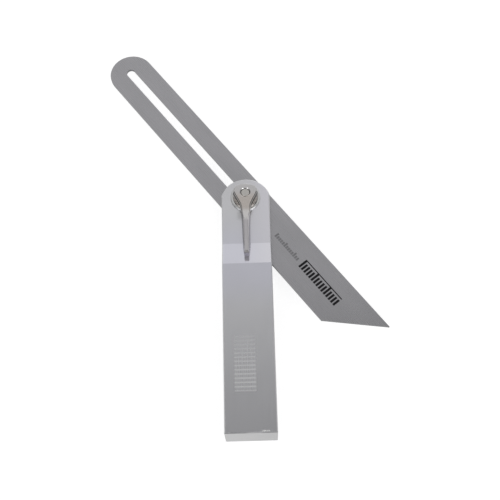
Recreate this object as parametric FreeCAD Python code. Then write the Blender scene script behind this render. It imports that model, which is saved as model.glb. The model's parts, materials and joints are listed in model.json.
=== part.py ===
import FreeCAD, Part
import math
import os

# Sliding bevel: a slotted handle, a slotted blade that swings and slides on a bolt, a washer
# and a lever nut that locks them. Millimetres.
# Origin: centre of the handle's flat back face. +Z points out of the lever side, +Y along the
# handle to its rounded end, where the pivot is, and +X across it.

# Handle
HANDLE_WIDTH = 26.5
HANDLE_LENGTH = 142.8
HANDLE_THICKNESS = 20.3
CROWN_RADIUS = 14.0
EDGE_CHAMFER = 0.5
PIVOT_BELOW_CROWN = 11.6
PIVOT_Y = HANDLE_LENGTH / 2 - PIVOT_BELOW_CROWN

# The handle is thinner round the pivot, and a ramp rises from there to the grip.
RECESS_DEPTH = 5.2
RECESS_Z = HANDLE_THICKNESS - RECESS_DEPTH
RAMP_FOOT_Y = PIVOT_Y - 27.5
RAMP_TOP_Y = PIVOT_Y - 41.0

# Blade, lying in the middle of the handle's thickness
BLADE_WIDTH = 25.4
BLADE_THICKNESS = 1.6
BLADE_LENGTH = 225.8
BLADE_Z = HANDLE_THICKNESS / 2
BLADE_ANGLE = -52.65
POINT_PAST_PIVOT = 104.9
POINT_ANGLE = 45.0
BLADE_SLOT_WIDTH = 5.0
BLADE_SLOT_LENGTH = 120.0
BLADE_SLOT_END_WALL = 9.3

# The handle's own slot, for the blade, stops short of the grip's solid end.
SIDE_CLEARANCE = 0.2
HANDLE_SLOT_DEPTH = PIVOT_BELOW_CROWN + 112.0

# Bolt: a low head in a counterbore in the back, a shank with two flats at the blade, and a
# thinner threaded end in front of the blade
SHANK_RADIUS = 3.0
SHANK_HOLE_RADIUS = 3.08
THREAD_RADIUS = 2.5
THREAD_HOLE_RADIUS = 2.58
FLATS_WIDTH = 4.8
FLATS_OVERRUN = 0.3
HEAD_RADIUS = 5.5
HEAD_THICKNESS = 2.8
HEAD_CHAMFER = 0.8
COUNTERBORE_RADIUS = 6.1
COUNTERBORE_DEPTH = 4.2
BOLT_TOP_Z = 21.7
BOLT_TIP_CHAMFER = 0.4

# Washer and lever stand on the recess, a hair apart.
FACE_GAP = 0.05
WASHER_RADIUS = 8.2
WASHER_HOLE_RADIUS = 2.7
WASHER_THICKNESS = 1.2
WASHER_Z = RECESS_Z + FACE_GAP

# Lever: round boss, a fan-shaped head with flared sides and a countersunk bore, and a stem that
# rises a little as it runs down over the ramp. Outline points give the distance out from the
# middle line and the distance above the pivot.
LEVER_Z = WASHER_Z + WASHER_THICKNESS + FACE_GAP
LEVER_BORE_RADIUS = 2.55
BORE_MOUTH = 0.45
BOSS_RADIUS = 7.0
BOSS_HEIGHT = 1.6
LEVER_TOP_Z = 21.9
FAN_CROWN_Y = 5.0
FAN_SHOULDER = (5.7, 3.7)
FAN_CORNER = (6.2, 1.3)
FAN_WAIST = (2.7, -6.0)
FAN_NECK = (1.2, -15.5)
FAN_FLARE = 0.4
# Stem sections: distance below the pivot, half width at the bottom and top, bottom and top Z
STEM_SECTIONS = [
    (8.0, 2.5, 1.3, 17.9, 21.5),
    (17.0, 2.15, 1.2, 18.3, 21.7),
    (28.0, 1.9, 1.15, 18.9, 21.9),
    (34.8, 1.35, 1.2, 19.0, 22.4),
]

TOLERANCE = 1e-4
PAST_FACE = 1.0


def vec(x, y, z=0.0):
    return FreeCAD.Vector(x, y, z)


def prism(edges, bottom, height):
    """A solid on the closed outline that the edges make, from bottom up by height."""
    face = Part.Face(Part.Wire(edges))
    face.translate(vec(0, 0, bottom))
    return face.extrude(vec(0, 0, height))


def lines(points):
    """Straight edges from each point to the next."""
    return [Part.LineSegment(a, b).toShape() for a, b in zip(points, points[1:])]


def arc(start, middle, end):
    return Part.Arc(start, middle, end).toShape()


def disc(radius, bottom, top):
    """An upright cylinder on the pivot's axis."""
    return Part.makeCylinder(radius, top - bottom, vec(0, PIVOT_Y, bottom))


def stadium(width, start, end, bottom, height):
    """An upright slot with round ends, whose end arcs are centred at start and end along X."""
    radius = width / 2
    edges = [
        arc(vec(start, radius), vec(start - radius, 0), vec(start, -radius)),
        *lines([vec(start, -radius), vec(end, -radius)]),
        arc(vec(end, -radius), vec(end + radius, 0), vec(end, radius)),
        *lines([vec(end, radius), vec(start, radius)]),
    ]
    return prism(edges, bottom, height)


def handle_outline():
    """The handle from the front: straight sides, and one arc over the rounded end."""
    half = HANDLE_WIDTH / 2
    end = HANDLE_LENGTH / 2
    shoulder = end - CROWN_RADIUS + math.sqrt(CROWN_RADIUS**2 - half**2)
    sides = lines([vec(-half, shoulder), vec(-half, -end), vec(half, -end), vec(half, shoulder)])
    return sides + [arc(vec(half, shoulder), vec(0, end), vec(-half, shoulder))]


def above_recess():
    """The wedge of space over the thin upper part and the ramp."""
    half = HANDLE_WIDTH / 2 + PAST_FACE
    far = HANDLE_LENGTH / 2 + PAST_FACE
    high = HANDLE_THICKNESS + PAST_FACE
    slope = (RAMP_FOOT_Y - RAMP_TOP_Y) / RECESS_DEPTH
    side = [
        vec(-half, far, RECESS_Z),
        vec(-half, RAMP_FOOT_Y, RECESS_Z),
        vec(-half, RAMP_TOP_Y - slope * PAST_FACE, high),
        vec(-half, far, high),
    ]
    return Part.Face(Part.Wire(lines(side + side[:1]))).extrude(vec(2 * half, 0, 0))


def rim_edges(shape):
    """The edges that run round the handle's front and back faces, on its outer wall."""
    half = HANDLE_WIDTH / 2
    crown_y = HANDLE_LENGTH / 2 - CROWN_RADIUS
    rim = []
    for edge in shape.Edges:
        box = edge.BoundBox
        upright = box.ZLength > RECESS_DEPTH + PAST_FACE
        middle = edge.valueAt((edge.FirstParameter + edge.LastParameter) / 2)
        on_side = abs(abs(middle.x) - half) < TOLERANCE
        on_end = abs(middle.y + HANDLE_LENGTH / 2) < TOLERANCE
        on_crown = abs(math.hypot(middle.x, middle.y - crown_y) - CROWN_RADIUS) < TOLERANCE
        if (on_side or on_end or on_crown) and not upright:
            rim.append(edge)
    return rim


def make_handle():
    body = prism(handle_outline(), 0, HANDLE_THICKNESS).cut(above_recess())
    body = body.makeChamfer(EDGE_CHAMFER, rim_edges(body))
    width = HANDLE_WIDTH + 2 * PAST_FACE
    gap = BLADE_THICKNESS + 2 * SIDE_CLEARANCE
    slot_bottom = HANDLE_LENGTH / 2 - HANDLE_SLOT_DEPTH
    slot = Part.makeBox(
        width,
        HANDLE_SLOT_DEPTH + PAST_FACE,
        gap,
        vec(-width / 2, slot_bottom, BLADE_Z - gap / 2),
    )
    back_hole = disc(SHANK_HOLE_RADIUS, -PAST_FACE, BLADE_Z)
    front_hole = disc(THREAD_HOLE_RADIUS, BLADE_Z, HANDLE_THICKNESS)
    counterbore = disc(COUNTERBORE_RADIUS, -PAST_FACE, COUNTERBORE_DEPTH)
    return body.cut(slot).cut(back_hole).cut(front_hole).cut(counterbore)


def make_blade():
    """Drawn along X with the pivot at the origin, then turned and lifted into place."""
    half = BLADE_WIDTH / 2
    back = POINT_PAST_PIVOT - BLADE_LENGTH
    heel = POINT_PAST_PIVOT - BLADE_WIDTH / math.tan(math.radians(POINT_ANGLE))
    round_centre = back + half
    corners = [
        vec(round_centre, -half),
        vec(heel, -half),
        vec(POINT_PAST_PIVOT, half),
        vec(round_centre, half),
    ]
    outline = lines(corners) + [arc(corners[-1], vec(back, 0), corners[0])]
    bottom = BLADE_Z - BLADE_THICKNESS / 2
    slot_radius = BLADE_SLOT_WIDTH / 2
    slot_start = back + BLADE_SLOT_END_WALL + slot_radius
    slot_end = slot_start + BLADE_SLOT_LENGTH - BLADE_SLOT_WIDTH
    slot = stadium(BLADE_SLOT_WIDTH, slot_start, slot_end, bottom - PAST_FACE, 3 * PAST_FACE)
    blade = prism(outline, bottom, BLADE_THICKNESS).cut(slot)
    blade.rotate(vec(0, 0), vec(0, 0, 1), BLADE_ANGLE)
    blade.translate(vec(0, PIVOT_Y))
    return blade


def chamfered_disc(radius, bottom, top, chamfer, at_top):
    """A disc on the pivot's axis with one rim chamfered, at its top or its bottom."""
    solid = disc(radius, bottom, top)
    rim_z = top if at_top else bottom
    level = [edge for edge in solid.Edges if edge.BoundBox.ZLength < TOLERANCE]
    rim = [edge for edge in level if abs(edge.BoundBox.ZMin - rim_z) < TOLERANCE]
    return solid.makeChamfer(chamfer, rim)


def make_pivot_bolt():
    head_top = COUNTERBORE_DEPTH - FACE_GAP
    head_bottom = head_top - HEAD_THICKNESS
    shank_bottom = head_bottom + PAST_FACE
    shank_top = BLADE_Z + BLADE_THICKNESS / 2 + SIDE_CLEARANCE - FACE_GAP
    flats_bottom = BLADE_Z - BLADE_THICKNESS / 2 - SIDE_CLEARANCE - FLATS_OVERRUN
    head = chamfered_disc(HEAD_RADIUS, head_bottom, head_top, HEAD_CHAMFER, at_top=False)
    shank = disc(SHANK_RADIUS, shank_bottom, shank_top)
    for side in (-1, 1):
        flat = Part.makeBox(
            2 * SHANK_RADIUS + 2 * PAST_FACE,
            SHANK_RADIUS,
            shank_top - flats_bottom + PAST_FACE,
            vec(-SHANK_RADIUS - PAST_FACE, -SHANK_RADIUS / 2, flats_bottom),
        )
        flat.translate(vec(0, side * (FLATS_WIDTH + SHANK_RADIUS) / 2))
        flat.rotate(vec(0, 0), vec(0, 0, 1), BLADE_ANGLE)
        flat.translate(vec(0, PIVOT_Y))
        shank = shank.cut(flat)
    thread = chamfered_disc(THREAD_RADIUS, shank_top, BOLT_TOP_Z, BOLT_TIP_CHAMFER, at_top=True)
    return head.fuse(shank).fuse(thread).removeSplitter()


def make_flat_washer():
    top = WASHER_Z + WASHER_THICKNESS
    hole = disc(WASHER_HOLE_RADIUS, WASHER_Z - PAST_FACE, top + PAST_FACE)
    return disc(WASHER_RADIUS, WASHER_Z, top).cut(hole)


def fan_outline(z, spread):
    """The head's outline at one height: an arched top, and hollow sides that run in to the neck."""

    def point(place, side):
        return vec(side * (place[0] + spread), place[1], z)

    def flank(side, first, last):
        return arc(point(first, side), point(FAN_WAIST, side), point(last, side))

    crown = arc(point(FAN_SHOULDER, -1), vec(0, FAN_CROWN_Y + spread, z), point(FAN_SHOULDER, 1))
    edges = [
        crown,
        *lines([point(FAN_SHOULDER, 1), point(FAN_CORNER, 1)]),
        flank(1, FAN_CORNER, FAN_NECK),
        *lines([point(FAN_NECK, 1), point(FAN_NECK, -1)]),
        flank(-1, FAN_NECK, FAN_CORNER),
        *lines([point(FAN_CORNER, -1), point(FAN_SHOULDER, -1)]),
    ]
    return Part.Wire(edges)


def stem_outline(below, bottom_half, top_half, bottom, top):
    """The stem's upright section at one distance below the pivot: a bar with leaning sides."""
    corners = [
        vec(-bottom_half, -below, bottom),
        vec(bottom_half, -below, bottom),
        vec(top_half, -below, top),
        vec(-top_half, -below, top),
    ]
    return Part.Wire(lines(corners + corners[:1]))


def make_lock_lever():
    foot = LEVER_Z + BOSS_HEIGHT / 2
    wires = [fan_outline(foot, FAN_FLARE), fan_outline(LEVER_TOP_Z, 0)]
    head = Part.makeLoft(wires, True, True)
    stem = Part.makeLoft([stem_outline(*section) for section in STEM_SECTIONS], True, True)
    lever = head.fuse(stem)
    lever.translate(vec(0, PIVOT_Y))
    boss = disc(BOSS_RADIUS, LEVER_Z, LEVER_Z + BOSS_HEIGHT)
    bore = disc(LEVER_BORE_RADIUS, LEVER_Z - PAST_FACE, LEVER_TOP_Z + PAST_FACE)
    mouth = Part.makeCone(
        LEVER_BORE_RADIUS,
        LEVER_BORE_RADIUS + BORE_MOUTH + PAST_FACE,
        BORE_MOUTH + PAST_FACE,
        vec(0, PIVOT_Y, LEVER_TOP_Z - BORE_MOUTH),
    )
    return lever.fuse(boss).cut(bore).cut(mouth)


MAKERS = {
    "handle": make_handle,
    "blade": make_blade,
    "pivot_bolt": make_pivot_bolt,
    "flat_washer": make_flat_washer,
    "lock_lever": make_lock_lever,
}

os.makedirs("parts", exist_ok=True)
for node, make in MAKERS.items():
    shape = make()
    if not shape.isValid() or len(shape.Solids) != 1:
        raise SystemExit(f"{node} is not one valid solid")
    shape.exportStep(f"parts/{node}.step")
    print(f"{node}: {shape.Volume:.0f} cubic mm")
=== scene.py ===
import json
import math
import bmesh
import bpy
from mathutils import Euler, Matrix, Vector


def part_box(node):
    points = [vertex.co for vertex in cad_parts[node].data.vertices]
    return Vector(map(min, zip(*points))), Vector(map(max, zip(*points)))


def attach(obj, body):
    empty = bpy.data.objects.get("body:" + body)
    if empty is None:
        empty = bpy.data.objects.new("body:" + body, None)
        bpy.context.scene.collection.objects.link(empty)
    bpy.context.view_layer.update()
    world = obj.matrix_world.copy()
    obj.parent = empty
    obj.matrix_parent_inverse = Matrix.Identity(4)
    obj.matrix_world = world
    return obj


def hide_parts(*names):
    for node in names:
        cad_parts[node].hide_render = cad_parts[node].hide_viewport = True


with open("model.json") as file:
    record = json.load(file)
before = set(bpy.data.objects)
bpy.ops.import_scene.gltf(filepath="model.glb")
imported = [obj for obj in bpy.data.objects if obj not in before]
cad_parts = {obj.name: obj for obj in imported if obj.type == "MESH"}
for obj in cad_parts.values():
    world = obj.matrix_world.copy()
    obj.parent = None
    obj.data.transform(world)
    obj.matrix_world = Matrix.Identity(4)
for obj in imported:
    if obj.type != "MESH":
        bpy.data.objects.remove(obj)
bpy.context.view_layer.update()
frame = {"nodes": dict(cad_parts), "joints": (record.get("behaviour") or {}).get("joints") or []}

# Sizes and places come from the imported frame, in metres. MM turns millimetres into metres.
MM = 0.001
HANDLE_LOW, HANDLE_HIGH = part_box("handle")
BOLT_LOW, BOLT_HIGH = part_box("pivot_bolt")
WASHER_LOW, WASHER_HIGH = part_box("flat_washer")
LEVER_LOW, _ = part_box("lock_lever")
BLADE_LOW, BLADE_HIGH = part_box("blade")
JOINTS = {joint["name"]: joint for joint in frame["joints"]}
PIVOT = Vector(JOINTS["blade_swing"]["pos_m"])
BLADE_AXIS = Vector(JOINTS["blade_slide"]["axis"])
BLADE_ANGLE = math.atan2(BLADE_AXIS.y, BLADE_AXIS.x)
BLADE_MIDDLE_Z = (BLADE_LOW.z + BLADE_HIGH.z) / 2

# The handle's ramp, from its thin upper part down to the grip's full thickness
RAMP_FOOT_Y = PIVOT.y - 27.5 * MM
RAMP_TOP_Y = PIVOT.y - 41.0 * MM


# ---------------------------------------------------------------- meshes

SMOOTH_ANGLE = math.radians(35)


def new_object(name, bm):
    """Links a bmesh as an object with outward faces, shaded smooth except at sharp edges."""
    bmesh.ops.recalc_face_normals(bm, faces=bm.faces)
    for face in bm.faces:
        face.smooth = True
    for edge in bm.edges:
        edge.smooth = edge.calc_face_angle(0) < SMOOTH_ANGLE
    mesh = bpy.data.meshes.new(name)
    bm.to_mesh(mesh)
    bm.free()
    piece = bpy.data.objects.new(name, mesh)
    bpy.context.scene.collection.objects.link(piece)
    return piece


def stand_for(piece, body, node):
    """The piece rides on a body and takes a CAD node's place."""
    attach(piece, body)
    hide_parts(node)
    return piece


def skin_loops(bm, loops, close_ring=False):
    """Quads between neighbouring loops of points. Open ends are each closed with one face."""
    rings = [[bm.verts.new(point) for point in loop] for loop in loops]
    pairs = list(zip(rings, rings[1:]))
    if close_ring:
        pairs.append((rings[-1], rings[0]))
    for low, high in pairs:
        for i in range(len(low)):
            j = (i + 1) % len(low)
            bm.faces.new((low[i], low[j], high[j], high[i]))
    if not close_ring:
        bm.faces.new(rings[0])
        bm.faces.new(rings[-1])


def new_solid(name, loops, close_ring=False):
    """A new object skinned over loops of points."""
    bm = bmesh.new()
    skin_loops(bm, loops, close_ring)
    return new_object(name, bm)


def apply_modifiers(piece):
    """Works the piece's modifiers into its mesh."""
    depsgraph = bpy.context.evaluated_depsgraph_get()
    mesh = bpy.data.meshes.new_from_object(piece.evaluated_get(depsgraph))
    piece.modifiers.clear()
    piece.data = mesh


def join_solids(piece, other, operation):
    """Adds other to piece, or cuts it away, and removes other."""
    modifier = piece.modifiers.new("join", "BOOLEAN")
    modifier.operation = operation
    modifier.solver = "EXACT"
    modifier.object = other
    apply_modifiers(piece)
    bpy.data.objects.remove(other)


def round_pivot(radius, angle, z):
    """A point at a distance and an angle from the pivot's axis."""
    return Vector((PIVOT.x + radius * math.cos(angle), PIVOT.y + radius * math.sin(angle), z))


def ring_points(radius, z, count):
    """A level circle of points on the pivot's axis."""
    return [round_pivot(radius, 2 * math.pi * i / count, z) for i in range(count)]


# ---------------------------------------------------------------- pivot bolt

SHANK_RADIUS = 3.0 * MM
THREAD_RADIUS = 2.5 * MM
THREAD_PITCH = 0.8 * MM
THREAD_DEPTH = 0.43 * MM
TIP_TAPER = 0.35 * MM
TIP_TAPER_HEIGHT = 0.4 * MM
HEAD_RADIUS = (BOLT_HIGH.x - BOLT_LOW.x) / 2
HEAD_TOP_Z = BOLT_LOW.z + 2.8 * MM
FLATS_HALF_WIDTH = 2.4 * MM
FLATS_LOW_Z = BLADE_LOW.z - 0.5 * MM
SHANK_TOP_Z = BLADE_HIGH.z + 0.15 * MM
THREAD_START_Z = SHANK_TOP_Z + 0.6 * MM


def thread_radius(angle, z):
    """The bolt's radius at one point of a right-hand thread with a tapered start."""
    turn = (z / THREAD_PITCH - angle / (2 * math.pi)) % 1.0
    groove = THREAD_DEPTH * (1 - abs(2 * turn - 1))
    run_out = min(1.0, max(0.0, (z - THREAD_START_Z) / THREAD_PITCH))
    tip = THREAD_RADIUS - max(0.0, z - BOLT_HIGH.z + TIP_TAPER_HEIGHT) * TIP_TAPER / TIP_TAPER_HEIGHT
    return min(THREAD_RADIUS - groove * run_out, tip)


def thread_loop(z, count):
    """The threaded end's outline at one height."""
    angles = [2 * math.pi * i / count for i in range(count)]
    return [round_pivot(thread_radius(angle, z), angle, z) for angle in angles]


def flats_loop(z, count):
    """A circle pressed flat on both sides, along the blade's slot."""
    across = Vector((-BLADE_AXIS.y, BLADE_AXIS.x, 0))
    centre = Vector((PIVOT.x, PIVOT.y, z))
    points = []
    for point in ring_points(SHANK_RADIUS, z, count):
        offset = (point - centre).dot(across)
        limited = max(-FLATS_HALF_WIDTH, min(FLATS_HALF_WIDTH, offset))
        points.append(point + across * (limited - offset))
    return points


def make_pivot_bolt():
    """Low domed head, plain shank with two flats at the blade, and a thinner threaded end."""
    count = 96
    dome = 0.9 * MM
    dome_steps = 8
    dome_reach = 0.999
    rows_per_turn = 12
    rim = 0.15 * MM
    corner = 0.02 * MM
    loops = []
    for i in range(1, dome_steps + 1):
        share = math.sin(math.pi / 2 * i / dome_steps)
        height = BOLT_LOW.z + dome * (1 - math.sqrt(1 - (share * dome_reach) ** 2))
        loops.append(ring_points(HEAD_RADIUS * share, height, count))
    loops.append(ring_points(HEAD_RADIUS, HEAD_TOP_Z - rim, count))
    loops.append(ring_points(HEAD_RADIUS - rim, HEAD_TOP_Z, count))
    loops.append(ring_points(SHANK_RADIUS + rim, HEAD_TOP_Z, count))
    loops += [ring_points(SHANK_RADIUS, z, count) for z in (HEAD_TOP_Z + rim, FLATS_LOW_Z - corner)]
    loops += [flats_loop(z, count) for z in (FLATS_LOW_Z, SHANK_TOP_Z - corner)]
    loops += [ring_points(THREAD_RADIUS, z, count) for z in (SHANK_TOP_Z, THREAD_START_Z - corner)]
    rows = int((BOLT_HIGH.z - THREAD_START_Z) / THREAD_PITCH * rows_per_turn)
    step = (BOLT_HIGH.z - THREAD_START_Z) / rows
    loops += [thread_loop(THREAD_START_Z + step * i, count) for i in range(rows + 1)]
    bolt = new_solid("pivot_bolt_turned", loops)
    return stand_for(bolt, body="pivot_bolt", node="pivot_bolt")


# ---------------------------------------------------------------- washer

def profile_arc(centre_out, centre_z, radius, first, last, steps):
    """Points (distance out, z) along an arc, between two angles given in quarter turns."""
    angles = [math.pi / 2 * (first + (last - first) * i / steps) for i in range(steps + 1)]
    return [(centre_out + radius * math.cos(a), centre_z + radius * math.sin(a)) for a in angles]


def make_washer():
    """A stamped ring: its upper rim rolled over, its lower one crisp, its bore slightly drawn in."""
    count = 128
    outer = (WASHER_HIGH.x - WASHER_LOW.x) / 2
    inner = 2.7 * MM
    roll = 0.45 * MM
    crisp = 0.08 * MM
    profile = [(inner, WASHER_LOW.z + crisp), (inner + crisp, WASHER_LOW.z)]
    profile += [(outer - crisp, WASHER_LOW.z), (outer, WASHER_LOW.z + crisp)]
    profile += profile_arc(outer - roll, WASHER_HIGH.z - roll, roll, 0, 1, 4)
    profile += profile_arc(inner + roll / 2, WASHER_HIGH.z - roll / 2, roll / 2, 1, 2, 3)
    loops = [ring_points(radius, z, count) for radius, z in profile]
    washer = new_solid("washer_stamped", loops, close_ring=True)
    return stand_for(washer, body="washer", node="flat_washer")


# ---------------------------------------------------------------- lock lever

BOSS_RADIUS = 7.0 * MM
BOSS_HEIGHT = 1.6 * MM
BORE_RADIUS = 2.55 * MM
BORE_MOUTH = 0.45 * MM
BORE_MOUTH_DEPTH = 0.26 * MM
LEVER_TOP_Z = BOLT_HIGH.z + 0.2 * MM
CAST_VOXEL = 0.13 * MM
# Head: distance above the pivot and half width there, in mm, from its two corners down to the stem
FAN_HALF_WIDTHS = (
    (3.7, 5.6),
    (1.3, 6.0),
    (-0.6, 5.3),
    (-3.6, 3.75),
    (-6.0, 2.6),
    (-7.4, 2.2),
    (-9.6, 1.85),
    (-12.2, 1.65),
    (-14.6, 1.25),
    (-15.5, 1.2),
)
FAN_CROWN = 1.3 * MM
# Walls of the head, with a groove over a ledge: depth below its top, and how far they stand out
# there, in mm
FAN_WALLS = (
    (4.7, 0.6),
    (2.2, 0.6),
    (1.7, 0.55),
    (1.55, 0.15),
    (1.2, -0.3),
    (0.85, -0.3),
    (0.5, 0.0),
    (0.0, 0.0),
)
# Stem: distance below the pivot, half width at the bottom and the top, bottom and top Z, all in mm
STEM_SECTIONS = (
    (8.5, 2.5, 1.1, 18.0, 21.8),
    (17.0, 2.15, 1.1, 18.4, 21.9),
    (28.0, 1.9, 1.05, 18.95, 21.95),
    (34.7, 1.35, 1.15, 19.05, 22.35),
)


def fan_loop(z, spread):
    """The head's outline at one height, with an arched top and hollow sides."""
    right = [(half * MM + spread, y * MM) for y, half in FAN_HALF_WIDTHS]
    start_x, start_y = right[0]
    crown = []
    steps = 12
    for i in range(1, steps):
        x = -start_x + 2 * start_x * i / steps
        crown.append((x, start_y + (FAN_CROWN + spread / 2) * (1 - (x / start_x) ** 2)))
    outline = crown + right + [(-x, y) for x, y in reversed(right)]
    return [Vector((PIVOT.x + x, PIVOT.y + y, z)) for x, y in outline]


def stem_loop(below, bottom_half, top_half, bottom, top):
    """One section of the stem, in mm: leaning sides and a rounded top."""
    shoulder_half = top_half + 0.45 * (bottom_half - top_half)
    flat_half = 0.6 * top_half
    right = [
        (bottom_half, bottom),
        (shoulder_half, top - 0.7),
        (top_half, top - 0.15),
        (flat_half, top),
    ]
    left = [(-x, z) for x, z in reversed(right)]
    y = PIVOT.y - below * MM
    return [Vector((PIVOT.x + x * MM, y, z * MM)) for x, z in right + left]


def make_bore(count):
    """A cutter for the lever's bore, widening at its mouth."""
    past = 1.0 * MM
    profile = [
        (BORE_RADIUS, LEVER_LOW.z - past),
        (BORE_RADIUS, LEVER_TOP_Z - BORE_MOUTH_DEPTH),
        (BORE_RADIUS + BORE_MOUTH, LEVER_TOP_Z),
        (BORE_RADIUS + BORE_MOUTH + past, LEVER_TOP_Z + past),
    ]
    return new_solid("bore", [ring_points(radius, z, count) for radius, z in profile])


def make_lever():
    """A casting: head, stem and boss are joined, melted together a little, then bored."""
    count = 96
    walls = [fan_loop(LEVER_TOP_Z - depth * MM, spread * MM) for depth, spread in FAN_WALLS]
    lever = new_solid("lock_lever_cast", walls)
    stem = new_solid("stem", [stem_loop(*section) for section in STEM_SECTIONS])
    join_solids(lever, stem, "UNION")
    boss_ends = (LEVER_LOW.z, LEVER_LOW.z + BOSS_HEIGHT)
    boss = new_solid("boss", [ring_points(BOSS_RADIUS, z, count) for z in boss_ends])
    join_solids(lever, boss, "UNION")
    remesh = lever.modifiers.new("melt", "REMESH")
    remesh.mode = "VOXEL"
    remesh.voxel_size = CAST_VOXEL
    soften = lever.modifiers.new("soften", "SMOOTH")
    soften.factor = 0.5
    soften.iterations = 3
    apply_modifiers(lever)
    join_solids(lever, make_bore(count), "DIFFERENCE")
    for polygon in lever.data.polygons:
        polygon.use_smooth = True
    lever.data.set_sharp_from_angle(angle=SMOOTH_ANGLE)
    return stand_for(lever, body="lever", node="lock_lever")


# ---------------------------------------------------------------- CAD parts that stay

def soften_edges(node, width):
    """Breaks a CAD part's sharp edges with a narrow bevel. Its own mesh stays as imported."""
    piece = frame["nodes"][node]
    weld = piece.modifiers.new("weld", "WELD")
    weld.merge_threshold = 0.001 * MM
    flatten = piece.modifiers.new("whole faces", "DECIMATE")
    flatten.decimate_type = "DISSOLVE"
    flatten.angle_limit = math.radians(0.5)
    bevel = piece.modifiers.new("broken edges", "BEVEL")
    bevel.width = width
    bevel.segments = 2
    bevel.limit_method = "ANGLE"
    bevel.angle_limit = math.radians(20)
    bevel.harden_normals = True
    return piece


# ---------------------------------------------------------------- materials
# In every look x and y, or along and across on the blade, are millimetres from the pivot. Heights
# are millimetres from the handle's back, and on the lever from the top of its head.

# How squarely a face looks up: a wall below the first share, level above the second
LEVEL = (0.6, 0.92)
# How soft the borders of printed marks are, in mm
INK_SOFT = 0.05
# Noise levels between which plating turns from bright to dull
DULL_SPECKS = (0.35, 0.7)
# On the lever: where its head gives way to the stem and to the boss below, and the groove and the
# ledge round the head
HEAD_END_Y = (-17.0, -15.5)
BOSS_TOP_Z = (-3.7, -3.4)
GROOVE_Z = (-1.5, -0.9)
LEDGE_Z = (-2.2, -1.6)

class Nodes:
    """Short ways to add nodes to a node tree."""

    def __init__(self, tree):
        self.tree = tree

    def feed(self, socket, value):
        """Puts a number, a colour or another node's output on a socket."""
        if isinstance(value, bpy.types.NodeSocket):
            self.tree.links.new(value, socket)
        else:
            socket.default_value = value

    def math(self, operation, *values):
        """One Math node's result."""
        node = self.tree.nodes.new("ShaderNodeMath")
        node.operation = operation
        for socket, value in zip(node.inputs, values):
            self.feed(socket, value)
        return node.outputs[0]

    def product(self, *values):
        """All the values multiplied together."""
        result = values[0]
        for value in values[1:]:
            result = self.math("MULTIPLY", result, value)
        return result

    def total(self, *values):
        """All the values added up."""
        result = values[0]
        for value in values[1:]:
            result = self.math("ADD", result, value)
        return result

    def ramp(self, value, stops):
        """A grey that follows (position, grey) stops."""
        node = self.tree.nodes.new("ShaderNodeValToRGB")
        self.feed(node.inputs[0], value)
        elements = node.color_ramp.elements
        while len(elements) < len(stops):
            elements.new(0.5)
        for element, (position, grey) in zip(elements, stops):
            element.position = position
            element.color = (grey, grey, grey, 1)
        return node.outputs[0]

    def spread(self, value, low, high, to_low, to_high):
        """value from low..high carried to to_low..to_high, smoothly and within those limits."""
        node = self.tree.nodes.new("ShaderNodeMapRange")
        node.interpolation_type = "SMOOTHSTEP"
        for socket, number in zip(node.inputs, (value, low, high, to_low, to_high)):
            self.feed(socket, number)
        return node.outputs[0]

    def rise(self, value, low, high):
        """0 up to low, 1 from high on, and smooth between them."""
        return self.spread(value, low, high, 0.0, 1.0)

    def fall(self, value, low, high):
        """1 up to low, 0 from high on, and smooth between them."""
        return self.spread(value, low, high, 1.0, 0.0)

    def band(self, value, low, high, soft):
        """1 where value lies between low and high, 0 elsewhere, with soft borders."""
        rising = self.rise(value, low - soft, low + soft)
        return self.math("MULTIPLY", rising, self.fall(value, high - soft, high + soft))

    def inverse(self, mask):
        """0 where the mask is 1, and 1 where it is 0."""
        return self.math("SUBTRACT", 1.0, mask)

    def either(self, first, second):
        """The larger of two masks."""
        return self.math("MAXIMUM", first, second)

    def distance(self, x, y):
        """How far x and y lie from 0, 0."""
        return self.math("SQRT", self.total(self.product(x, x), self.product(y, y)))

    def blend(self, share, first, second):
        """A colour between first and second."""
        node = self.tree.nodes.new("ShaderNodeMix")
        node.data_type = "RGBA"
        for name, value in (("Factor_Float", share), ("A_Color", first), ("B_Color", second)):
            socket = next(s for s in node.inputs if s.identifier == name)
            self.feed(socket, value)
        return next(s for s in node.outputs if s.identifier == "Result_Color")

    def stretch(self, vector, scale):
        """A vector multiplied axis by axis."""
        node = self.tree.nodes.new("ShaderNodeVectorMath")
        node.operation = "MULTIPLY"
        self.feed(node.inputs[0], vector)
        node.inputs[1].default_value = scale
        return node.outputs[0]

    def axes(self, vector):
        """A vector's x, y and z."""
        node = self.tree.nodes.new("ShaderNodeSeparateXYZ")
        self.feed(node.inputs[0], vector)
        return node.outputs[0], node.outputs[1], node.outputs[2]

    def noise(self, vector, detail=3.0, roughness=0.5):
        """Noise of about one unit per grain, in the units that vector was stretched to."""
        node = self.tree.nodes.new("ShaderNodeTexNoise")
        self.feed(node.inputs["Vector"], vector)
        node.inputs["Scale"].default_value = 1.0
        node.inputs["Detail"].default_value = detail
        node.inputs["Roughness"].default_value = roughness
        return node.outputs["Fac"]


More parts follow.
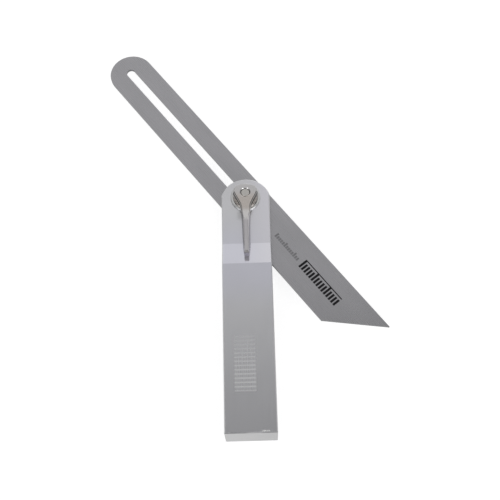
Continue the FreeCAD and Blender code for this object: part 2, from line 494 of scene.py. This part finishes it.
class Surface(Nodes):
    """A Principled material, in the piece's own millimetres."""

    def __init__(self, name, colour, metallic, roughness):
        self.material = bpy.data.materials.new(name)
        self.material.use_nodes = True
        super().__init__(self.material.node_tree)
        self.shader = self.tree.nodes["Principled BSDF"]
        self.set("Base Color", (*colour, 1))
        self.set("Metallic", metallic)
        self.set("Roughness", roughness)

    def set(self, socket, value):
        """Puts a value on one of the shader's own sockets."""
        self.feed(self.shader.inputs[socket], value)

    def place(self, origin=(0, 0, 0), turn=0.0):
        """The surface's own coordinates in millimetres, from origin and turned about Z."""
        coordinates = self.tree.nodes.new("ShaderNodeTexCoord")
        mapping = self.tree.nodes.new("ShaderNodeMapping")
        mapping.vector_type = "TEXTURE"
        mapping.inputs["Location"].default_value = origin
        mapping.inputs["Rotation"].default_value = (0, 0, turn)
        mapping.inputs["Scale"].default_value = (MM, MM, MM)
        self.tree.links.new(coordinates.outputs["Object"], mapping.inputs["Vector"])
        return mapping.outputs[0]

    def facing(self, axis):
        """How squarely the surface faces along one of the piece's own axes, from -1 to 1."""
        coordinates = self.tree.nodes.new("ShaderNodeTexCoord")
        return self.axes(coordinates.outputs["Normal"])[axis]

    def upward(self):
        """1 where the surface faces up, 0 on its walls and below."""
        return self.rise(self.facing(2), *LEVEL)

    def level(self):
        """1 where the surface faces up or down, 0 on its walls."""
        return self.rise(self.math("ABSOLUTE", self.facing(2)), *LEVEL)

    def bump(self, height, depth_mm):
        """Relief that stands depth_mm high where height is 1."""
        node = self.tree.nodes.new("ShaderNodeBump")
        node.inputs["Strength"].default_value = 1.0
        node.inputs["Distance"].default_value = depth_mm * MM
        self.feed(node.inputs["Height"], height)
        self.set("Normal", node.outputs[0])


def aluminium_look():
    """Satin aluminium drawn along its length, with dull walls, an etched panel, painted light and
    shadow, and edge marks.
    """
    look = Surface("handle_aluminium", (0.8, 0.8, 0.82), metallic=1.0, roughness=0.28)
    place = look.place(origin=(0, PIVOT.y, 0))
    x, y, _ = look.axes(place)
    streaks = look.noise(look.stretch(place, (3.2, 0.03, 3.2)), detail=5.0, roughness=0.7)
    clouds = look.noise(look.stretch(place, (0.09, 0.05, 0.09)), detail=2.0)
    grain = look.rise(streaks, 0.3, 0.7)
    tone = look.total(look.product(grain, 0.1), look.product(clouds, 0.9))
    neutral = look.blend(tone, (0.765, 0.765, 0.79, 1), (0.835, 0.835, 0.865, 1))
    cool = look.blend(tone, (0.765, 0.765, 0.84, 1), (0.84, 0.84, 0.93, 1))
    satin = look.blend(look.band(y, -58.0, -18.0, 12.0), neutral, cool)

    # The recess and its ramp get painted light, brighter towards one side, and the grip has an etched
    # panel
    front = look.upward()
    ramp_top = (RAMP_TOP_Y - PIVOT.y) / MM
    ramp_foot = (RAMP_FOOT_Y - PIVOT.y) / MM
    above_grip = look.product(look.rise(y, ramp_top - 0.1, ramp_top + 0.1), front)
    painted_side_light = look.product(above_grip, look.rise(x, -6.0, 14.0))
    satin = look.blend(painted_side_light, satin, (0.885, 0.875, 0.935, 1))
    etched = look.product(etched_panel(look, x, y), front)
    satin = look.blend(look.product(etched, 0.5), satin, (1.0, 1.0, 1.0, 1))

    # Walls and ends are left duller than the front and the back
    wall = look.inverse(look.level())
    dull = look.blend(look.rise(x, -6.0, 13.0), (0.46, 0.46, 0.463, 1), (0.425, 0.425, 0.43, 1))
    bare = look.blend(wall, satin, dull)
    # Painted shadow of the lever's neck: a faint darker patch on each side of it on the recess
    neck_shadow = look.product(neck_shadow_patches(look, x, y), front)
    bare = look.blend(neck_shadow, bare, (0.4, 0.4, 0.4, 1))
    # Darker along the top edge at the grip's end; worn spots there made white and not metallic, a
    # painted highlight
    dark_edge, scrape_and_highlight = edge_marks(look, place)
    bare = look.blend(dark_edge, bare, (0.3, 0.3, 0.31, 1))
    look.set("Base Color", look.blend(scrape_and_highlight, bare, (0.9, 0.9, 0.9, 1)))
    look.set("Metallic", look.inverse(scrape_and_highlight))

    # Drawn streaks roughen it, and the ramp is the smoothest
    polished = look.product(look.band(y, ramp_top, ramp_foot, 0.05), front)
    roughness = look.total(
        0.24,
        look.product(grain, 0.03),
        look.product(wall, 0.14),
        look.product(etched, 0.16),
        look.product(above_grip, -0.05),
        look.product(polished, -0.07),
    )
    look.set("Roughness", roughness)
    look.bump(look.total(streaks, look.product(etched, -8.0)), depth_mm=0.001)
    return look.material


def neck_shadow_patches(look, x, y):
    """Two faint patches of painted shadow on the recess, one on each side of the lever's neck."""
    left = look.product(look.band(x, -4.6, 0.0, 1.2), look.band(y, -13.0, -8.0, 1.5))
    right = look.product(look.band(x, 0.0, 3.2, 1.2), look.band(y, -10.5, -7.0, 1.5))
    return look.product(look.total(left, right), 0.4)


def edge_marks(look, place):
    """Marks on the upper edge at the grip's end: where it is darker, and worn spots made bright as a
    painted highlight.
    """
    x, y, z = look.axes(place)
    top = look.rise(z, HANDLE_HIGH.z / MM - 0.6, HANDLE_HIGH.z / MM - 0.4)
    from_end = look.math("SUBTRACT", y, (HANDLE_LOW.y - PIVOT.y) / MM)
    ragged = look.noise(look.stretch(place, (0.7, 1.5, 1.5)), detail=4.0, roughness=0.7)
    width = look.spread(ragged, 0.3, 0.7, 0.35, 0.65)
    at_edge = look.math("LESS_THAN", from_end, width)
    dark_edge_reach = look.product(look.inverse(look.band(x, -2.0, 6.0, 1.5)), 0.8)
    dark_edge = look.product(top, at_edge, dark_edge_reach)
    spots = look.rise(ragged, 0.42, 0.55)
    scrape_and_highlight = look.product(top, look.band(from_end, 0.6, 1.4, 0.1), look.band(x, 5.0, 10.5, 0.8), spots)
    return dark_edge, scrape_and_highlight


def etched_panel(look, x, y):
    """Plain etched bars across the grip, fainter towards the pivot."""
    bars = look.spread(look.math("PINGPONG", y, 1.1), 0.25, 0.45, 1.0, 0.15)
    reach = look.product(look.band(x, -7.6, 3.2, 0.2), look.band(y, -110.0, -80.0, 0.3))
    return look.product(bars, reach, look.spread(y, -105.0, -78.0, 1.0, 0.25))


def steel_look():
    """Ground blade steel with its grain along the blade, dull walls, and printed graduations."""
    look = Surface("blade_steel", (0.5, 0.5, 0.51), metallic=1.0, roughness=0.3)
    place = look.place(origin=(PIVOT.x, PIVOT.y, 0), turn=BLADE_ANGLE)
    along, across, z = look.axes(place)
    streaks = look.noise(look.stretch(place, (0.05, 5.0, 5.0)), detail=5.0, roughness=0.75)
    clouds = look.noise(look.stretch(place, (0.04, 0.12, 0.1)), detail=2.0)
    grain = look.rise(streaks, 0.3, 0.7)
    tone = look.total(look.product(grain, 0.2), look.product(clouds, 0.8))
    ground = look.blend(tone, (0.455, 0.452, 0.47, 1), (0.555, 0.548, 0.575, 1))
    towards_point = look.spread(along, 65.0, 110.0, 0.0, 0.35)
    ground = look.blend(towards_point, ground, (0.38, 0.38, 0.39, 1))
    steel = look.blend(look.level(), (0.16, 0.16, 0.165, 1), ground)
    front = look.rise(z, BLADE_MIDDLE_Z / MM, BLADE_HIGH.z / MM)
    ink = look.product(printed_ticks(look, along, across), front)
    look.set("Base Color", look.blend(ink, steel, (0.01, 0.01, 0.012, 1)))
    look.set("Metallic", look.inverse(ink))
    look.set("Specular IOR Level", 0.2)
    look.set("Roughness", look.total(0.26, look.product(grain, 0.04), look.product(ink, 0.3)))
    look.bump(streaks, depth_mm=0.001)
    return look.material


def printed_ticks(look, along, across):
    """Bold graduations hung from a line near the point, and a fainter finer row behind them."""
    bold = tick_row(
        look, along, across, start=49.0, end=77.0, pitch=2.0, long_every=10.0, reach=(-2.4, 1.9, 3.0)
    )
    line = look.product(look.band(along, 48.4, 77.6, INK_SOFT), look.band(across, 2.9, 3.5, INK_SOFT))
    fine = tick_row(
        look, along, across, start=27.0, end=45.0, pitch=1.5, long_every=7.5, reach=(-1.1, 0.8, 1.7)
    )
    return look.either(look.either(bold, line), look.product(fine, 0.5))


def tick_row(look, along, across, start, end, pitch, long_every, reach):
    """Evenly spaced ticks across the blade from reach[0] to reach[1], and every few to reach[2]."""
    half = 0.3 * pitch
    past_start = look.math("SUBTRACT", along, start)
    tick = look.fall(look.math("PINGPONG", past_start, pitch / 2), half, half + 2 * INK_SOFT)
    from_long = look.math("PINGPONG", past_start, long_every / 2)
    long = look.fall(from_long, pitch / 2 - 2 * INK_SOFT, pitch / 2)
    foot, short_end, long_end = reach
    short_part = look.band(across, foot, short_end, INK_SOFT)
    long_part = look.product(long, look.band(across, foot, long_end, INK_SOFT))
    within = look.band(along, start - pitch / 2, end + pitch / 2, INK_SOFT)
    return look.product(tick, look.either(short_part, long_part), within)


def uneven_plating(look, place, roughness):
    """Ripples plated metal a little. Returns its fine specks, and how rough they leave it."""
    ripple = look.noise(look.stretch(place, (0.5, 0.5, 0.5)), detail=2.0)
    look.bump(ripple, depth_mm=0.05)
    specks = look.noise(look.stretch(place, (4.0, 4.0, 4.0)), detail=4.0, roughness=0.7)
    return specks, look.spread(specks, 0.3, 0.75, 0.7 * roughness, 1.5 * roughness)


def plated(name, colour, dull, roughness):
    """A surface of slightly uneven bright plating, and the plating's colour."""
    look = Surface(name, colour, metallic=1.0, roughness=roughness)
    specks, uneven = uneven_plating(look, look.place(), roughness)
    look.set("Roughness", uneven)
    return look, look.blend(look.rise(specks, *DULL_SPECKS), (*colour, 1), (*dull, 1))


def bolt_look():
    """Zinc, a little yellowed."""
    look, plating = plated("bolt_zinc", (0.72, 0.7, 0.67), dull=(0.6, 0.58, 0.55), roughness=0.25)
    look.set("Base Color", plating)
    return look.material


def washer_look():
    """Bright zinc, with painted shade on its rim to the left."""
    look, plating = plated("washer_zinc", (0.8, 0.8, 0.8), dull=(0.7, 0.7, 0.7), roughness=0.14)
    x, y, _ = look.axes(look.place(origin=PIVOT))
    rim = look.rise(look.distance(x, y), 7.6, 7.9)
    # Painted shade: the rim darkened to the left, where the lever's shadow falls
    rim_shade = look.product(look.spread(x, -2.5, 0.0, 0.25, 0.0), rim)
    look.set("Base Color", look.blend(rim_shade, plating, (0.1, 0.1, 0.1, 1)))
    return look.material


def nickel_look():
    """Nickel over a casting, with painted shade in its corners, and the stem's end and underside an
    unplated grey that paints the shade under the stem's end.
    """
    roughness = 0.2
    look = Surface("lever_nickel", (0.75, 0.71, 0.7), metallic=1.0, roughness=roughness)
    place = look.place(origin=(PIVOT.x, PIVOT.y, LEVER_TOP_Z))
    x, y, z = look.axes(place)
    specks, uneven = uneven_plating(look, place, roughness)
    # Painted shade under the head's rim, in its groove and on the boss
    crevice_shade = lever_painted_shade(look, x, y, z, specks)
    coated = look.blend(crevice_shade, lever_plating(look, y, z, specks), (0.02, 0.02, 0.02, 1))
    # Painted shade: the stem's end face and underside left unplated and grey, standing in for the shadow
    # and reflection under the stem's end
    end_face = look.product(look.fall(look.facing(1), -0.8, -0.6), look.fall(y, -33.0, -32.5))
    underside = look.product(look.fall(look.facing(2), -0.8, -0.6), look.fall(y, -27.0, -26.0))
    bare = look.either(end_face, underside)
    grey = look.blend(underside, (0.5, 0.48, 0.47, 1), (0.95, 0.92, 0.9, 1))
    look.set("Base Color", look.blend(bare, coated, grey))
    look.set("Metallic", look.inverse(bare))
    look.set("Roughness", look.total(uneven, look.product(crevice_shade, 0.2), look.product(bare, 0.3)))
    return look.material


def lever_sides(look):
    """Masks of the lever's left and right sides."""
    across = look.facing(0)
    return look.fall(across, -0.8, -0.45), look.rise(across, 0.45, 0.8)


def lever_plating(look, y, z, specks):
    """Nickel, warm at the neck, lighter on its tip, with a painted highlight on the ledge, duller on the
    stem, and painted shade on its sides.
    """
    warmth = look.band(y, -11.0, -1.0, 3.0)
    bright = look.blend(warmth, (0.745, 0.73, 0.735, 1), (0.71, 0.652, 0.612, 1))
    dull = look.blend(warmth, (0.69, 0.675, 0.68, 1), (0.65, 0.595, 0.557, 1))
    plating = look.blend(look.rise(specks, *DULL_SPECKS), bright, dull)
    # Lighter on the neck's tip, and a painted highlight on the ledge
    neck_tip = look.product(look.band(y, -15.6, -10.5, 1.5), 0.6)
    ledge = look.product(look.band(z, *LEDGE_Z, 0.05), look.rise(y, -9.0, -7.0))
    plating = look.blend(look.either(neck_tip, ledge), plating, (0.95, 0.93, 0.92, 1))
    stem = look.product(look.fall(y, *HEAD_END_Y), 0.6)
    plating = look.blend(stem, plating, (0.58, 0.56, 0.59, 1))
    # Painted shade on the stem's sides below the hub, deeper on the left
    left, right = lever_sides(look)
    sides = look.total(look.product(left, 0.95), look.product(right, 0.55))
    below_hub = look.product(look.fall(y, -8.5, -6.5), look.spread(y, -33.0, -29.0, 0.4, 1.0))
    return look.blend(look.product(sides, below_hub), plating, (0.28, 0.27, 0.28, 1))


def lever_painted_shade(look, x, y, z, specks):
    """Painted shade on the walls under the head's rim, in the groove round it, and on the boss, speckled
    and deeper outwards and to the left.
    """
    left, right = lever_sides(look)
    under_rim = look.spread(z, -0.7, -0.4, 0.8, 0.0)
    left_wall = look.product(left, look.spread(y, -11.0, -6.5, 0.4, 1.0), under_rim)
    right_wall = look.product(right, look.rise(y, -9.0, -6.5), under_rim)
    groove = look.product(look.band(z, *GROOVE_Z, 0.06), look.spread(y, -9.0, -7.0, 0.0, 0.8))
    on_head = look.either(look.total(left_wall, right_wall), groove)
    speckled = look.spread(specks, 0.4, 0.6, 0.0, 0.4)
    outward = look.spread(look.distance(x, y), 5.0, 6.8, 0.0, 0.1)
    leftward = look.spread(x, -2.0, 2.0, 0.05, 0.0)
    boss = look.product(look.fall(z, *BOSS_TOP_Z), look.rise(y, *HEAD_END_Y))
    return look.either(on_head, look.product(boss, look.total(speckled, outward, leftward)))


def dress(piece, material):
    """Gives a piece one material all over."""
    piece.data.materials.clear()
    piece.data.materials.append(material)


# ---------------------------------------------------------------- camera, light and floor

CAMERA_FROM_PIVOT = Vector((6.35, -223.4, 465.8)) * MM
CAMERA_TURN = (-23.07, -0.54, 1.73)
LENS = 65.5
SENSOR = 36.0


def make_camera():
    """A camera that looks steeply down on the lever, from beyond the grip's end."""
    data = bpy.data.cameras.new("camera")
    data.lens = LENS
    data.sensor_width = SENSOR
    data.clip_start = 10 * MM
    camera = bpy.data.objects.new("camera", data)
    bpy.context.scene.collection.objects.link(camera)
    turn = Euler([math.radians(angle) for angle in CAMERA_TURN], "XYZ").to_matrix()
    place = Vector((PIVOT.x, PIVOT.y, 0)) + CAMERA_FROM_PIVOT
    camera.matrix_world = Matrix.Translation(place) @ turn.transposed().to_4x4()
    bpy.context.scene.camera = camera


# How bright the sky is at each height of its direction, from level to straight up
SKY_STOPS = (
    (0.0, 0.72),
    (0.42, 0.66),
    (0.85, 0.575),
    (0.895, 0.575),
    (0.93, 0.62),
    (0.967, 0.25),
    (1.0, 0.2),
)


def make_world():
    """A soft studio sky, white at the horizon, greyer above and to both sides, with two soft boxes."""
    world = bpy.data.worlds.new("studio")
    bpy.context.scene.world = world
    world.use_nodes = True
    sky = Nodes(world.node_tree)
    coordinates = sky.tree.nodes.new("ShaderNodeTexCoord")
    x, y, z = sky.axes(coordinates.outputs["Generated"])
    upward = sky.ramp(z, SKY_STOPS)
    sideways = sky.spread(sky.math("ABSOLUTE", x), 0.45, 0.85, 1.0, 0.42)
    forward = sky.spread(y, -0.9, -0.5, 0.6, 1.0)
    dome = sky.product(upward, sideways, forward)
    horizon = sky.fall(z, 0.08, 0.18)
    right_box = soft_box(sky, (x, y, z), towards=(0.48, -0.4, 0.78), brightness=2.0)
    left_box = soft_box(sky, (x, y, z), towards=(-0.49, -0.4, 0.775), brightness=1.5)
    lit = sky.total(dome, right_box, left_box)
    background = sky.tree.nodes["Background"]
    sky.feed(background.inputs["Color"], sky.blend(horizon, lit, (1.0, 1.0, 1.0, 1)))


def soft_box(sky, direction, towards, brightness):
    """A soft round light in one direction of the sky."""
    rim_cosine = 0.972
    full_cosine = 0.99
    cosine = sky.total(*[sky.product(axis, share) for axis, share in zip(direction, towards)])
    return sky.spread(cosine, rim_cosine, full_cosine, 0.0, brightness)


def make_floor():
    """A white floor just under the handle, wide enough to fill the view."""
    half_width = 30.0
    gap = 0.2 * MM
    bm = bmesh.new()
    bmesh.ops.create_grid(bm, x_segments=1, y_segments=1, size=half_width)
    floor = new_object("floor", bm)
    floor.location.z = -gap
    look = Surface("floor", (0.5, 0.5, 0.5), metallic=0.0, roughness=0.8)
    look.set("Emission Color", (1, 1, 1, 1))
    look.set("Emission Strength", 0.78)
    dress(floor, look.material)


# ---------------------------------------------------------------- the scene

bpy.context.scene.view_settings.view_transform = "Standard"
make_camera()
make_world()
make_floor()
dress(soften_edges("handle", width=0.15 * MM), aluminium_look())
dress(soften_edges("blade", width=0.12 * MM), steel_look())
dress(make_pivot_bolt(), bolt_look())
dress(make_washer(), washer_look())
dress(make_lever(), nickel_look())
